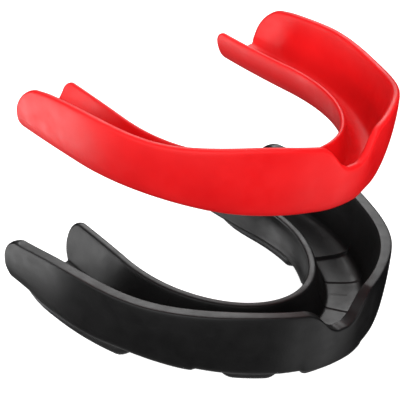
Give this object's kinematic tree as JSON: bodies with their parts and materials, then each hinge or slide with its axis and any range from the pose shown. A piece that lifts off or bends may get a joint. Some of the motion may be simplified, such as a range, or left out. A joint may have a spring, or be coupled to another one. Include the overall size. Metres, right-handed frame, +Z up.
{
  "type": "two-layer boxing mouthguard",
  "caption": "Arch-shaped boxing mouthguard: thick rubber outer frame with bite pads below and a thin liner drawn up above it, which lowers into the frame's channel.",
  "frame": {"origin": "centre of the footprint, on the surface that the bite pads stand on", "axes": "+Z up, the open side of the channels; -Y out of the front teeth; +X to the wearer's left"},
  "size_m": [0.064, 0.0566, 0.0461],
  "materials": {
    "black_rubber": "satin black moulded rubber",
    "pad_rubber": "satin black moulded rubber, a little duller",
    "red_gel": "satin red soft thermoplastic"
  },
  "bodies": {
    "frame": {"outer_frame": "black_rubber", "front_bite_pad": "pad_rubber", "left_canine_pad": "pad_rubber", "right_canine_pad": "pad_rubber", "left_molar_pad": "pad_rubber", "right_molar_pad": "pad_rubber"},
    "liner": {"inner_liner": "red_gel"}
  },
  "joints": [
    {"name": "liner_lift", "type": "slide", "parent": "frame", "child": "liner", "axis": [0, 0, 1], "range_m": [-0.0281, 0]}
  ]
}
